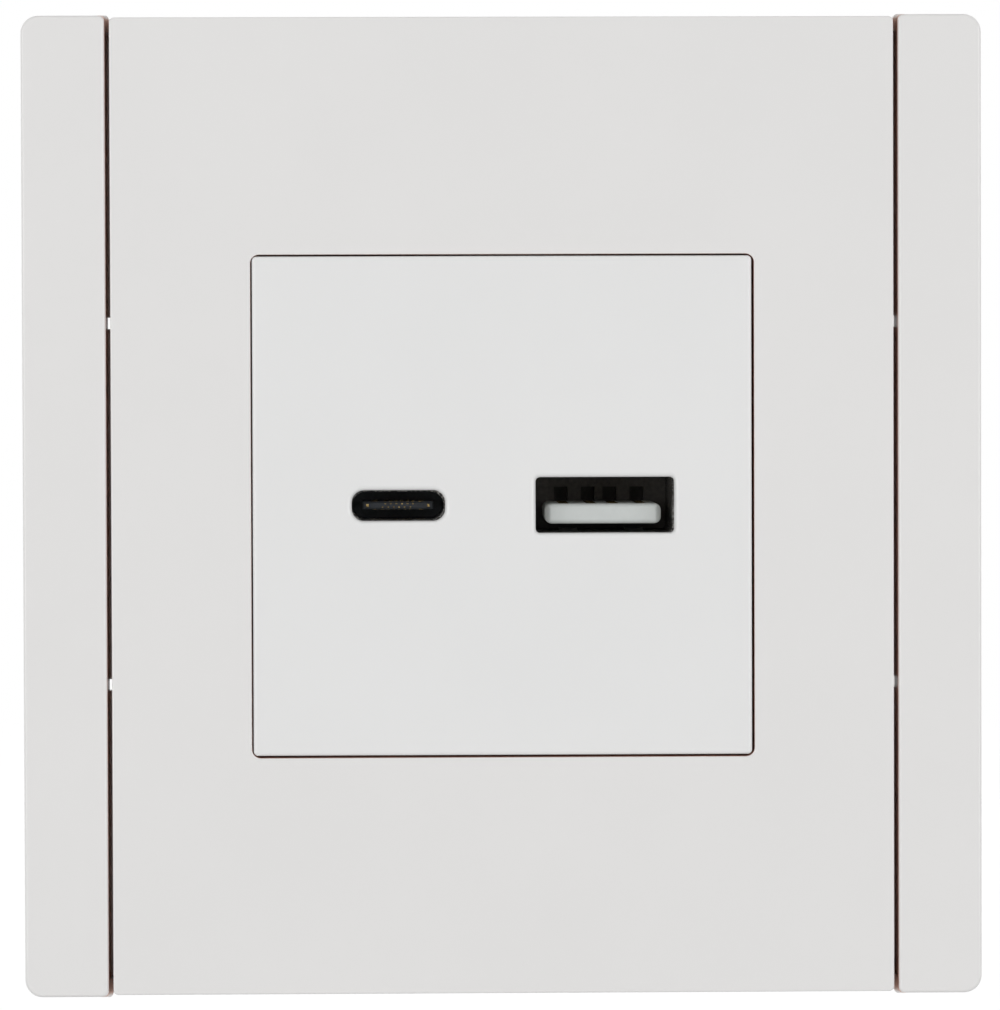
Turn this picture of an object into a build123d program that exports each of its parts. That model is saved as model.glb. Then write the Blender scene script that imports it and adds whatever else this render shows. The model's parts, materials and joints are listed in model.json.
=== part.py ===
from build123d import *
import math
import os

# A white flush-mounted USB charger socket: a frame with two snap-on trim strips, a square centre
# cover with one USB-C and one USB-A port, a steel support ring and the charger behind it.
# Everything is drawn with X to the right, Y up and Z out of the wall, whose plane is Z = 0.
# The last step turns each piece so that Z is up and Y goes into the wall. Sizes are in mm.

# Frame plate
FRAME_WIDTH = 86.5  # across both trim strips
FRAME_DEPTH = 10.0  # wall to front face
PLATE_HEIGHT = 88.1
PLATE_WALL = 2.2
PLATE_SIDE_WALL = 1.8
PLATE_CORNER = 0.45
PLATE_EDGE = 0.15
GROOVE_DEPTH = 4.4  # front face to the ledge that carries a strip
LEDGE_WALL = 1.6
WING_WALL = 1.6
WINDOW_CORNER = 0.78
WINDOW_EDGE = 0.1
COLLAR_WALL = 1.5
BACK_RIB = 1.0
BACK_RIB_DEPTH = 1.8
BACK_RIB_OFFSET = 20.0

# Trim strips
STRIP_WIDTH = 7.52
STRIP_OVERHANG = 0.175  # past the plate at each end
STRIP_GAP = 0.43  # the dark line between plate and strip
STRIP_FRONT_WALL = 1.8
STRIP_WALL = 1.4
STRIP_INNER_WALL = 1.2
STRIP_CORNER = 1.6
STRIP_INNER_CORNER = 0.5
STRIP_EDGE = 0.3
STRIP_LIFT = 0.25  # back edge clear of the wall
STRIP_RIB = 1.0
STRIP_LIP_DEPTH = 0.12  # front face to the lip that closes each end of the dark line
STRIP_LIP_SLOPE = 2.2  # by which the lip falls away towards the middle
STRIP_LIP_CLEARANCE = 0.05
STRIP_LIP_CORNER = 0.3
SEAT_CLEARANCE = 0.15
HOOK_SPACING = 32.85
HOOK_RISE = 0.18  # of the pair above the strip's middle
HOOK_THICKNESS = 0.85
HOOK_WIDTH = 2.2
HOOK_BARB = 0.5
HOOK_CLEARANCE = 0.1

# Centre cover
COVER_SIZE = 45.0
COVER_GAP = 0.19
COVER_PROUD = 0.3
COVER_SHIFT_X = -0.05  # it rests a little off the middle of its window
COVER_SHIFT_Y = 0.03
COVER_WALL = 1.8
COVER_SKIRT = 1.2
COVER_SKIRT_DEPTH = 5.7
COVER_CORNER = 0.4
COVER_EDGE = 0.32
COVER_CLEARANCE = 0.2  # to the neck inside it
COVER_PAD = 3.0
PORT_SPACING = 18.63
PORTS_SHIFT_X = -0.06  # both openings lie a little off the middle of the cover
PORTS_SHIFT_Y = 0.04
PORT_LIP = 1.0
PORT_LEAD_IN = 0.45
PORT_CLEARANCE = 0.25

# Snap wedges
BARB_ROOT = 0.3
BARB_REACH = 0.6
BARB_LENGTH = 1.3
BARB_WIDTH = 5.0
BARB_CLEARANCE = 0.25

# Support ring
RING_MARGIN = 1.5  # past the ends of the screw slots
RING_CORNER = 9.0
RING_CORNER_RADIUS = 2.0
RING_THICKNESS = 1.2
RING_LAP = 1.0  # of the ring between the two housings
SCREW_SPACING = 60.0
SCREW_SLOT_WIDTH = 3.8
SCREW_SLOT_LENGTH = 7.0
LUG_OFFSET = 13.0
LUG_WIDTH = 7.5
LUG_HEIGHT = 6.0
LUG_CLEARANCE = 0.12

# Housings
HOUSING_CORNER = 8.0
HOUSING_WALL = 1.6
HOUSING_EDGE = 1.2
NECK_CLEARANCE = 0.3
NECK_WALL = 1.5
NECK_SETBACK = 1.1  # behind the cover's front wall
NECK_TAIL = 4.3  # behind the wall plane
FLANGE_THICKNESS = 1.5
FLANGE_CLEARANCE = 0.4
POST_RADIUS = 1.6
POST_SIDE_GAP = 5.1  # neck side to the middle of a post
POST_END_GAP = 9.1
BOARD_RIB = 1.5
BOARD_RIB_Y = 8.0
MARK_PANEL_DEPTH = 0.3  # shallow panel above the screw holes, for the terminal letters
MARK_PANEL_HEIGHT = 4.4
MARK_PANEL_MARGIN = 2.2
MARK_PANEL_CORNER = 0.8

# Boards
BOARD_CLEARANCE = 0.5
PORT_BOARD_THICKNESS = 1.2
PORT_BOARD_STANDOFF = 0.3  # behind the neck
MAIN_BOARD_THICKNESS = 1.6
BOARD_SPACING = 3.4
LINK_PINS = 6
LINK_PITCH = 2.54
LINK_PIN = 0.64
LINK_EDGE_GAP = 3.6  # board edge to the row of pins
LINK_BODY = 2.5
LEAD_CLEARANCE = 0.15
LEAD_LENGTH = 1.0  # past the far side of a board

# USB-A port
USB_A_OPENING_WIDTH = 12.52
USB_A_OPENING_HEIGHT = 5.03
USB_A_OPENING_CORNER = 0.4
USB_A_SHIFT_X = -0.16  # the port sits a little off the middle of its opening
USB_A_SHIFT_Y = 0.06
USB_A_WIDTH = 12.5  # inside the metal shell
USB_A_HEIGHT = 5.12
USB_A_CORNER = 0.5
USB_A_DEPTH = 11.6  # shell rim to back wall
USB_A_TONGUE_WIDTH = 10.5
USB_A_TONGUE_THICKNESS = 1.82
USB_A_TONGUE_CORNER = 0.6
USB_A_TONGUE_EDGE = 0.42
USB_A_TONGUE_END_BEVEL = 0.45
USB_A_TONGUE_TOP = 0.05  # above the middle of the shell
USB_A_TONGUE_SETBACK = 1.1
USB_A_INNER_PITCH = 2.0
USB_A_OUTER_PITCH = 2.5
USB_A_SLOT_WIDTH = 1.28
USB_A_SLOT_LOW = 0.08
USB_A_SLOT_HIGH = 1.36
USB_A_SLOT_DEPTH = 1.5
USB_A_CONTACT_WIDTH = 0.9
USB_A_CONTACT_THICKNESS = 0.2
USB_A_FINGER_WIDTH = 1.7
USB_A_FINGER_X = 3.0
USB_A_FINGER_REACH = 0.25
USB_A_FINGER_LENGTH = 4.0

# USB-C port
USB_C_OPENING_WIDTH = 8.42
USB_C_OPENING_HEIGHT = 2.76
USB_C_OPENING_CORNER = 1.1
USB_C_SHIFT_X = -0.105  # off the middle of its opening
USB_C_WIDTH = 8.34
USB_C_HEIGHT = 2.56
USB_C_DEPTH = 6.6
USB_C_FLARE = 0.15  # of the shell's mouth
USB_C_TONGUE_WIDTH = 6.4
USB_C_TONGUE_THICKNESS = 0.7
USB_C_TONGUE_SETBACK = 1.3
USB_C_TONGUE_CHAMFER = 0.15
USB_C_PITCH = 0.5
USB_C_CONTACTS_A_ROW = 6
USB_C_STAGGER = 0.25  # of the upper row against the lower
USB_C_CONTACT_WIDTH = 0.26
USB_C_CONTACT_THICKNESS = 0.26
USB_C_CONTACT_SETBACK = 0.5  # behind the tongue's front
USB_C_TIP_WIDTH = 0.12  # of the thin end that shows in the tongue's front
USB_C_TIP_THICKNESS = 0.08
USB_C_POWER_SPACING = 4.2  # the wide supply blades
USB_C_POWER_WIDTH = 0.5
USB_C_EAR_SPACING = 5.5  # the two ears of the plate inside the tongue
USB_C_EAR_WIDTH = 0.2
USB_C_EAR_THICKNESS = 0.24

# Both metal shells
SHELL_SHEET = 0.3
SHELL_SETBACK = 0.1  # behind the lip of the cover
SHELL_LEG = 1.4
INSULATOR_CLEARANCE = 0.05
CONTACT_CLEARANCE = 0.02

# Mains terminals
TERMINAL_X = 7.0
TERMINAL_WALL_GAP = 1.65  # bottom wall to cage
TERMINAL_STANDOFF = 1.2  # main board to cage
WIRE_SPACE = 2.8
WIRE_OPENING = 4.5
ENTRY_CHAMFER = 0.5
CLAMP_WIDTH = 6.4
CLAMP_HEIGHT = 5.5
CLAMP_SIDE_WALL = 1.0
CLAMP_FRONT_WALL = 1.2
CLAMP_NUT_WALL = 2.0
CLAMP_PLAY = 0.4
CLAMP_TRAVEL = 2.4
CLAMP_EDGE = 0.35
CHAMBER_WALL = 1.0
CHAMBER_CLEARANCE = 0.25
BUSBAR_WIDTH = 3.8
BUSBAR_THICKNESS = 1.0
BUSBAR_TAIL_WIDTH = 2.0
BUSBAR_GAP = 0.5  # above the cage
SCREW_RADIUS = 1.5
SCREW_HEAD_RADIUS = 2.5
SCREW_HEAD_HEIGHT = 2.0
SCREW_DRIVE_WIDTH = 0.8
SCREW_DRIVE_DEPTH = 1.0
SCREW_RUNNING_CLEARANCE = 0.05
SCREW_HEAD_CLEARANCE = 0.3
SCREW_RECESS = 2.3  # head to the inside of the back wall

# Charger electronics
CORE_WIDTH = 14.0
CORE_LENGTH = 13.0
CORE_THICKNESS = 5.5
CORE_LEG = 4.6
CORE_YOKE = 2.2
BOBBIN_WALL = 0.5
BOBBIN_HEIGHT = 12.0
BOBBIN_FLANGE = 0.8
WINDING_CLEARANCE = 0.1
TRANSFORMER_Y = 8.0
BULK_RADIUS = 4.0
BULK_LENGTH = 13.0
BULK_EDGE_GAP = 2.3  # board edge to can
BULK_Y = (10.2, 1.2)
OUTPUT_RADIUS = 3.15
OUTPUT_LENGTH = 9.0
OUTPUT_EDGE_GAP = 3.15
OUTPUT_GAP = 1.45  # above the choke
OUTPUT_PITCH = 7.0
CAN_EDGE = 0.6
CHOKE_RADIUS = 3.0
CHOKE_LENGTH = 6.0
CHOKE_WAIST = 0.8
CHOKE_GAP = 0.7  # above the rectifier
FUSE_RADIUS = 1.8
FUSE_LENGTH = 8.0
FUSE_GAP = 3.85  # above the terminals
DISC_RADIUS = 3.5
DISC_THICKNESS = 3.0
DISC_Y = -4.0
BRIDGE_SIZE = (6.4, 5.0, 2.4)
BRIDGE_GAP = 2.35
CHIP_SIZE = (5.0, 6.0, 1.5)
SWITCH_X = -5.0
SWITCH_GAP = 1.75  # above the busbar legs
CONTROLLER_PLACE = (6.5, 9.5)

# Frame and strips, worked out
frame_edge = FRAME_WIDTH / 2
strip_inner = frame_edge - STRIP_WIDTH
strip_height = PLATE_HEIGHT + 2 * STRIP_OVERHANG
plate_edge = strip_inner - STRIP_GAP
ledge = FRAME_DEPTH - GROOVE_DEPTH
wing_edge = frame_edge - STRIP_WALL - SEAT_CLEARANCE
wing_top = strip_height / 2 - STRIP_WALL - SEAT_CLEARANCE
hook_inner = strip_inner + STRIP_INNER_WALL + HOOK_CLEARANCE
hook_outer = hook_inner + HOOK_WIDTH
hook_places = (HOOK_RISE - HOOK_SPACING / 2, HOOK_RISE + HOOK_SPACING / 2)
window = COVER_SIZE + 2 * COVER_GAP
collar_edge = window / 2 + COLLAR_WALL

# Cover, neck and housings, worked out
cover_front = FRAME_DEPTH + COVER_PROUD
cover_back = cover_front - COVER_SKIRT_DEPTH
cover_inside = COVER_SIZE / 2 - COVER_SKIRT
neck_edge = cover_inside - COVER_CLEARANCE
neck_front = cover_front - COVER_WALL - NECK_SETBACK
neck_inset = NECK_CLEARANCE + HOUSING_WALL
housing_edge = neck_edge + neck_inset
post_x = neck_edge - POST_SIDE_GAP
post_y = neck_edge - POST_END_GAP
flange_front = RING_THICKNESS + FLANGE_THICKNESS
collar_back = flange_front + FLANGE_CLEARANCE
ring_edge = (SCREW_SPACING + SCREW_SLOT_LENGTH) / 2 + RING_MARGIN
lug_inner = collar_edge + LUG_CLEARANCE
lug_outer = lug_inner + RING_THICKNESS
collar_catch = collar_back + BARB_LENGTH + BARB_CLEARANCE
cover_catch = cover_back + BARB_LENGTH + BARB_CLEARANCE

# Depths behind the wall, worked out
port_board_front = -NECK_TAIL - PORT_BOARD_STANDOFF
port_board_back = port_board_front - PORT_BOARD_THICKNESS
main_board_front = port_board_back - BOARD_SPACING
main_board_back = main_board_front - MAIN_BOARD_THICKNESS
clamp_front = main_board_back - TERMINAL_STANDOFF
wire_front = clamp_front - CLAMP_FRONT_WALL
busbar_front = wire_front - WIRE_SPACE
busbar_back = busbar_front - BUSBAR_THICKNESS
nut_front = busbar_back - CLAMP_PLAY
clamp_back = nut_front - CLAMP_NUT_WALL
collar_tube_front = clamp_back - CLAMP_TRAVEL - CHAMBER_CLEARANCE
head_front = collar_tube_front - SCREW_RUNNING_CLEARANCE
head_back = head_front - SCREW_HEAD_HEIGHT
housing_floor = head_back - SCREW_RECESS
housing_back = housing_floor - HOUSING_WALL

# Places on the boards, worked out
inside_edge = housing_edge - HOUSING_WALL
board_inset = HOUSING_WALL + BOARD_CLEARANCE
board_edge = housing_edge - board_inset
link_y = board_edge - LINK_EDGE_GAP
terminal_y = TERMINAL_WALL_GAP + CLAMP_HEIGHT / 2 - inside_edge
terminal_top = terminal_y + CLAMP_HEIGHT / 2
busbar_leg = (terminal_top + BUSBAR_GAP, terminal_top + BUSBAR_GAP + BUSBAR_THICKNESS)
bulk_x = BULK_EDGE_GAP + BULK_RADIUS - board_edge
output_x = board_edge - OUTPUT_EDGE_GAP - OUTPUT_RADIUS
fuse_y = terminal_top + FUSE_GAP + FUSE_RADIUS
bridge_y = terminal_top + BRIDGE_GAP + BRIDGE_SIZE[1] / 2
choke_y = bridge_y + BRIDGE_SIZE[1] / 2 + CHOKE_GAP + CHOKE_RADIUS
lower_output = choke_y + CHOKE_RADIUS + OUTPUT_GAP + OUTPUT_RADIUS
output_y = (lower_output, lower_output + OUTPUT_PITCH)
switch_y = busbar_leg[1] + SWITCH_GAP + CHIP_SIZE[1] / 2

# Ports, worked out
shell_front = cover_front - PORT_LIP - SHELL_SETBACK
usb_a_x = PORTS_SHIFT_X + PORT_SPACING / 2
usb_c_x = PORTS_SHIFT_X - PORT_SPACING / 2
usb_a_place = Pos(usb_a_x + USB_A_SHIFT_X, PORTS_SHIFT_Y + USB_A_SHIFT_Y)
usb_c_place = Pos(usb_c_x + USB_C_SHIFT_X, PORTS_SHIFT_Y)
usb_a_wall = shell_front - USB_A_DEPTH
usb_c_wall = shell_front - USB_C_DEPTH
usb_a_tip = shell_front - USB_A_TONGUE_SETBACK
usb_c_tip = shell_front - USB_C_TONGUE_SETBACK
usb_a_outer = USB_A_INNER_PITCH / 2 + USB_A_OUTER_PITCH
usb_a_pins = (-usb_a_outer, -USB_A_INNER_PITCH / 2, USB_A_INNER_PITCH / 2, usb_a_outer)
usb_a_contact_top = USB_A_TONGUE_TOP - CONTACT_CLEARANCE
usb_a_contact_low = usb_a_contact_top - USB_A_CONTACT_THICKNESS
usb_c_first = -USB_C_PITCH * (USB_C_CONTACTS_A_ROW - 1) / 2
usb_c_pins = [usb_c_first + USB_C_PITCH * i for i in range(USB_C_CONTACTS_A_ROW)]
lead_end = port_board_back - LEAD_LENGTH


def prism(outline, low, high):
    """A flat outline carried from one depth to another."""
    return extrude(Pos(0, 0, low) * outline, amount=high - low)


def block(x, y, z):
    """A box between the limits given along X, Y and Z."""
    limits = (x, y, z)
    middle = [(low + high) / 2 for low, high in limits]
    return Pos(*middle) * Box(*[high - low for low, high in limits])


def about(middle, width):
    """The limits of a width laid evenly about a middle."""
    return (middle - width / 2, middle + width / 2)


def front_edges(body):
    """The edges of a body's foremost face."""
    return body.faces().sort_by(Axis.Z)[-1].edges()


def cut_square(edge, corner):
    """A square reaching to the edge on each side, with its corners cut off."""
    short = edge - corner
    points = [(edge, short), (short, edge), (-short, edge), (-edge, short)]
    points += [(-x, -y) for x, y in points]
    return make_face(Polyline(*points, close=True))


def housing_outline(inset):
    """The housing's outline, moved inwards evenly on its sides and cut corners."""
    return cut_square(housing_edge - inset, HOUSING_CORNER - inset * (2 - math.sqrt(2)))


def barb(width, reach, catch):
    """A snap wedge that stands out along +Y, its catching face forward at the depth given."""
    tail = catch - BARB_LENGTH
    profile = Polyline((-BARB_ROOT, tail), (0, tail), (reach, catch), (-BARB_ROOT, catch), close=True)
    return extrude(make_face(Plane.YZ * profile), amount=width / 2, both=True)


def four_sides(piece):
    """The piece and its three quarter turns about the middle."""
    return [Rot(0, 0, 90 * turn) * piece for turn in range(4)]


def frame_plate():
    plate = prism(RectangleRounded(2 * plate_edge, PLATE_HEIGHT, PLATE_CORNER), 0, FRAME_DEPTH)
    plate = fillet(front_edges(plate), PLATE_EDGE)
    plate += prism(Rectangle(2 * wing_edge, 2 * wing_top), 0, ledge)
    inside_width = 2 * (plate_edge - PLATE_SIDE_WALL)
    plate -= prism(
        Rectangle(inside_width, PLATE_HEIGHT - 2 * PLATE_SIDE_WALL), 0, FRAME_DEPTH - PLATE_WALL
    )
    wing_inside = Rectangle(2 * (wing_edge - WING_WALL), 2 * (wing_top - WING_WALL))
    plate -= prism(wing_inside, 0, ledge - LEDGE_WALL)
    plate += prism(Rectangle(2 * collar_edge, 2 * collar_edge), collar_back, FRAME_DEPTH - PLATE_WALL / 2)
    plate -= prism(RectangleRounded(window, window, WINDOW_CORNER), 0, FRAME_DEPTH)
    rim = plate.faces().sort_by(Axis.Z)[-1].inner_wires()[0].edges()
    plate = fillet(rim, WINDOW_EDGE)
    slot_height = about(0, HOOK_THICKNESS + 2 * HOOK_CLEARANCE)
    slot = block((plate_edge, hook_outer + HOOK_CLEARANCE), slot_height, (0, ledge))
    for y in hook_places:
        plate -= Pos(0, y) * slot
        plate -= Pos(0, y) * mirror(slot, about=Plane.YZ)
    for x in (-LUG_OFFSET, LUG_OFFSET):
        wedge = Pos(x, collar_edge) * barb(BARB_WIDTH, BARB_REACH, collar_catch)
        plate += wedge
        plate += Rot(0, 0, 180) * wedge
    return plate + back_ribs()


def back_ribs():
    """Stiffening ribs behind the plate, from the window collar to the four sides."""
    collar_middle = collar_edge - COLLAR_WALL / 2
    depth = (FRAME_DEPTH - PLATE_WALL - BACK_RIB_DEPTH, FRAME_DEPTH - PLATE_WALL / 2)
    ribs = []
    for offset in (-BACK_RIB_OFFSET, BACK_RIB_OFFSET):
        across = about(offset, BACK_RIB)
        upright = block(across, (collar_middle, PLATE_HEIGHT / 2 - PLATE_SIDE_WALL / 2), depth)
        level = block((collar_middle, plate_edge - PLATE_SIDE_WALL / 2), across, depth)
        ribs += [upright, mirror(upright, about=Plane.XZ), level, mirror(level, about=Plane.YZ)]
    return ribs


def strip_lip():
    """The sloping lip at the strip's upper end, which reaches across the dark line to the plate."""
    inner = strip_height / 2 - STRIP_WALL
    outer = strip_height / 2
    front = FRAME_DEPTH - STRIP_LIP_DEPTH
    back = ((inner, STRIP_LIFT), (outer, STRIP_LIFT))
    profile = Polyline(*back, (outer, front), (inner, front - STRIP_LIP_SLOPE), close=True)
    reach = STRIP_GAP - STRIP_LIP_CLEARANCE + STRIP_INNER_WALL / 2
    lip = extrude(make_face(Plane.YZ * profile), amount=reach)
    corner = lip.edges().filter_by(Axis.Z).group_by(Axis.X)[0].sort_by(Axis.Y)[-1]
    return Pos(plate_edge + STRIP_LIP_CLEARANCE) * fillet(corner, STRIP_LIP_CORNER)


def right_trim_strip():
    outline = Rectangle(STRIP_WIDTH, strip_height)
    outline = fillet(outline.vertices().group_by(Axis.X)[-1], STRIP_CORNER)
    outline = fillet(outline.vertices().group_by(Axis.X)[0], STRIP_INNER_CORNER)
    strip = prism(Pos((strip_inner + frame_edge) / 2, 0) * outline, STRIP_LIFT, FRAME_DEPTH)
    strip = fillet(front_edges(strip), STRIP_EDGE)
    inside_x = (strip_inner + STRIP_INNER_WALL, frame_edge - STRIP_WALL)
    inside_y = about(0, strip_height - 2 * STRIP_WALL)
    strip -= block(inside_x, inside_y, (STRIP_LIFT, FRAME_DEPTH - STRIP_FRONT_WALL))
    strip -= block((plate_edge, inside_x[1]), inside_y, (STRIP_LIFT, ledge))
    lip = strip_lip()
    strip += [lip, mirror(lip, about=Plane.XZ)]
    rib_depth = (ledge + SEAT_CLEARANCE, FRAME_DEPTH - STRIP_FRONT_WALL)
    for y in (-HOOK_SPACING, 0, HOOK_SPACING):
        strip += block(inside_x, about(y, STRIP_RIB), rib_depth)
    catch = ledge - LEDGE_WALL - HOOK_CLEARANCE
    for y in hook_places:
        blade = block(
            (hook_inner, hook_outer),
            about(y, HOOK_THICKNESS),
            (catch - BARB_LENGTH, FRAME_DEPTH - STRIP_FRONT_WALL),
        )
        wedge = Rot(0, 0, -90) * barb(HOOK_THICKNESS, HOOK_BARB, catch)
        strip += blade + Pos(hook_outer, y) * wedge
    return strip


def usb_a_opening():
    return RectangleRounded(USB_A_OPENING_WIDTH, USB_A_OPENING_HEIGHT, USB_A_OPENING_CORNER)


def usb_c_opening():
    return RectangleRounded(USB_C_OPENING_WIDTH, USB_C_OPENING_HEIGHT, USB_C_OPENING_CORNER)


def usb_a_outline(grow):
    """The inside of the USB-A shell, grown evenly."""
    return RectangleRounded(USB_A_WIDTH + 2 * grow, USB_A_HEIGHT + 2 * grow, USB_A_CORNER + grow)


def usb_c_outline(grow):
    """The inside of the USB-C shell, grown evenly."""
    return SlotOverall(USB_C_WIDTH + 2 * grow, USB_C_HEIGHT + 2 * grow)


def centre_cover():
    cover = prism(RectangleRounded(COVER_SIZE, COVER_SIZE, COVER_CORNER), cover_back, cover_front)
    cover = fillet(front_edges(cover), COVER_EDGE)
    wall_back = cover_front - COVER_WALL
    cover -= prism(Rectangle(2 * cover_inside, 2 * cover_inside), cover_back, wall_back)
    shell = SHELL_SHEET + PORT_CLEARANCE
    ports = (
        (usb_a_place, usb_a_x, usb_a_opening(), usb_a_outline(shell)),
        (usb_c_place, usb_c_x, usb_c_opening(), usb_c_outline(shell)),
    )
    for place, x, opening, pocket in ports:
        cover -= place * prism(pocket, wall_back, cover_front - PORT_LIP)
        cover -= Pos(x, PORTS_SHIFT_Y) * prism(opening, wall_back, cover_front)
    front = cover.faces().sort_by(Axis.Z)[-1]
    cover = fillet([edge for wire in front.inner_wires() for edge in wire.edges()], PORT_LEAD_IN)
    wedge = Pos(0, -cover_inside) * barb(BARB_WIDTH, BARB_REACH, cover_catch)
    for turned in four_sides(wedge):
        cover += turned
    for x in (-post_x, post_x):
        for y in (-post_y, post_y):
            cover += block(about(x, COVER_PAD), about(y, COVER_PAD), (neck_front, wall_back + BARB_ROOT))
    return Pos(COVER_SHIFT_X, COVER_SHIFT_Y) * cover


def support_ring():
    outline = cut_square(ring_edge, RING_CORNER)
    outline = fillet(outline.vertices(), RING_CORNER_RADIUS)
    ring = prism(outline, 0, RING_THICKNESS)
    ring -= prism(housing_outline(RING_LAP), 0, RING_THICKNESS)
    slot = prism(SlotOverall(SCREW_SLOT_LENGTH, SCREW_SLOT_WIDTH), 0, RING_THICKNESS)
    for turned in four_sides(Pos(SCREW_SPACING / 2) * slot):
        ring -= turned
    hole_width = BARB_WIDTH + 2 * BARB_CLEARANCE
    hole_depth = (collar_catch - BARB_LENGTH - BARB_CLEARANCE, collar_catch + BARB_CLEARANCE)
    for x in (-LUG_OFFSET, LUG_OFFSET):
        lug_x = about(x, LUG_WIDTH)
        lug = block(lug_x, (lug_inner, lug_outer), (0, LUG_HEIGHT))
        lug -= block(about(x, hole_width), (lug_inner, lug_outer), hole_depth)
        cut_y = (lug_outer, lug_outer + LUG_HEIGHT - RING_THICKNESS)
        left_by_lug = block(lug_x, cut_y, (0, RING_THICKNESS))
        for turn in (0, 180):
            ring -= Rot(0, 0, turn) * left_by_lug
            ring += Rot(0, 0, turn) * lug
    return ring


def front_housing():
    neck = prism(housing_outline(neck_inset), -NECK_TAIL, neck_front)
    neck += prism(housing_outline(0), RING_THICKNESS, flange_front)
    neck -= prism(housing_outline(neck_inset + NECK_WALL), -NECK_TAIL, neck_front - NECK_WALL)
    shell = SHELL_SHEET + PORT_CLEARANCE
    neck -= usb_a_place * prism(usb_a_outline(shell), 0, neck_front)
    neck -= usb_c_place * prism(usb_c_outline(shell), 0, neck_front)
    groove_x = about(0, BARB_WIDTH + 2 * BARB_CLEARANCE)
    groove_y = (neck_edge - BARB_REACH, neck_edge)
    groove_z = (cover_catch - BARB_LENGTH - BARB_CLEARANCE, cover_catch + BARB_CLEARANCE)
    groove = block(groove_x, groove_y, groove_z)
    for turned in four_sides(groove):
        neck -= turned
    for x in (-post_x, post_x):
        for y in (-post_y, post_y):
            neck += Pos(x, y) * prism(Circle(POST_RADIUS), port_board_front, neck_front - NECK_WALL)
    wedge = Pos(0, neck_edge) * barb(BARB_WIDTH, NECK_CLEARANCE + BARB_REACH, -HOUSING_WALL)
    for turned in four_sides(wedge):
        neck += turned
    return neck


def rear_housing():
    shell = prism(housing_outline(0), housing_back, 0)
    shell = fillet(shell.edges().filter_by(Axis.Z), HOUSING_EDGE)
    shell = fillet(shell.faces().sort_by(Axis.Z)[0].edges(), HOUSING_EDGE)
    shell -= prism(housing_outline(HOUSING_WALL), housing_floor, 0)
    catch_x = about(0, BARB_WIDTH + 2 * BARB_CLEARANCE)
    catch_z = (-HOUSING_WALL - BARB_LENGTH - BARB_CLEARANCE, -HOUSING_WALL + BARB_CLEARANCE)
    for turned in four_sides(block(catch_x, (inside_edge, housing_edge), catch_z)):
        shell -= turned
    for x in (-inside_edge, inside_edge):
        for y in (-BOARD_RIB_Y, BOARD_RIB_Y):
            shell += block(about(x, 2 * BOARD_RIB), about(y, BOARD_RIB), (housing_floor, main_board_back))
    wall_gap = CLAMP_WIDTH / 2 + CHAMBER_CLEARANCE + CHAMBER_WALL / 2
    wall_y = (-inside_edge, terminal_top)
    wire_z = about((wire_front + busbar_front) / 2, WIRE_OPENING)
    tube = Circle(SCREW_HEAD_RADIUS + SCREW_HEAD_CLEARANCE + CHAMBER_WALL)
    access_radius = SCREW_HEAD_RADIUS + SCREW_HEAD_CLEARANCE
    access = prism(Circle(access_radius), housing_back, collar_tube_front)
    mouth = Cone(access_radius + ENTRY_CHAMFER, access_radius, ENTRY_CHAMFER)
    access += Pos(0, 0, housing_back + ENTRY_CHAMFER / 2) * mouth
    for x in (-TERMINAL_X, TERMINAL_X):
        for side in (-wall_gap, wall_gap):
            shell += block(about(x + side, CHAMBER_WALL), wall_y, (housing_floor, clamp_front))
        shell += Pos(x, terminal_y) * prism(tube, housing_floor, collar_tube_front)
        shell -= Pos(x, terminal_y) * access
        shell -= block(about(x, WIRE_OPENING), (-housing_edge, -inside_edge), wire_z)
    panel_low = terminal_y + access_radius + ENTRY_CHAMFER + MARK_PANEL_MARGIN / 2
    panel_width = 2 * (TERMINAL_X + access_radius + MARK_PANEL_MARGIN)
    panel = RectangleRounded(panel_width, MARK_PANEL_HEIGHT, MARK_PANEL_CORNER)
    panel = Pos(0, panel_low + MARK_PANEL_HEIGHT / 2) * panel
    shell -= prism(panel, housing_back, housing_back + MARK_PANEL_DEPTH)
    entries = shell.faces().sort_by(Axis.Y)[0].inner_wires()
    rims = [edge for wire in entries if abs(wire.center().X) > WIRE_OPENING for edge in wire.edges()]
    return chamfer(rims, ENTRY_CHAMFER)


def leg_places(half_width, half_height):
    """Where a metal shell's four legs stand: the limits along X and Y of each."""
    places = []
    for x in (-half_width, half_width - SHELL_SHEET):
        for y in (-half_height / 2, half_height / 2):
            places.append(((x, x + SHELL_SHEET), about(y, SHELL_LEG / 2)))
    return places


usb_a_legs = leg_places(USB_A_WIDTH / 2 + SHELL_SHEET, USB_A_HEIGHT / 2)
usb_c_legs = [
    (about(x, SHELL_LEG), (y, y + SHELL_SHEET))
    for x in (-USB_C_WIDTH / 4, USB_C_WIDTH / 4)
    for y in (-USB_C_HEIGHT / 2 - SHELL_SHEET, USB_C_HEIGHT / 2)
]


def grown(limits, by):
    """Limits moved apart by a clearance at each end."""
    return (limits[0] - by, limits[1] + by)


def port_board():
    board = prism(housing_outline(board_inset), port_board_back, port_board_front)
    depth = (port_board_back, port_board_front)
    for place, legs in ((usb_a_place, usb_a_legs), (usb_c_place, usb_c_legs)):
        for x, y in legs:
            board -= place * block(grown(x, LEAD_CLEARANCE), grown(y, LEAD_CLEARANCE), depth)
    for hole in usb_a_contact_boxes(LEAD_CLEARANCE, *depth):
        board -= usb_a_place * hole
    return board - link_holes(depth)


def link_places():
    first = -LINK_PITCH * (LINK_PINS - 1) / 2
    return [first + LINK_PITCH * i for i in range(LINK_PINS)]


def link_holes(depth):
    """Square holes that clear the link pins."""
    hole = LINK_PIN + 2 * LEAD_CLEARANCE
    return [block(about(x, hole), about(link_y, hole), depth) for x in link_places()]


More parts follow.
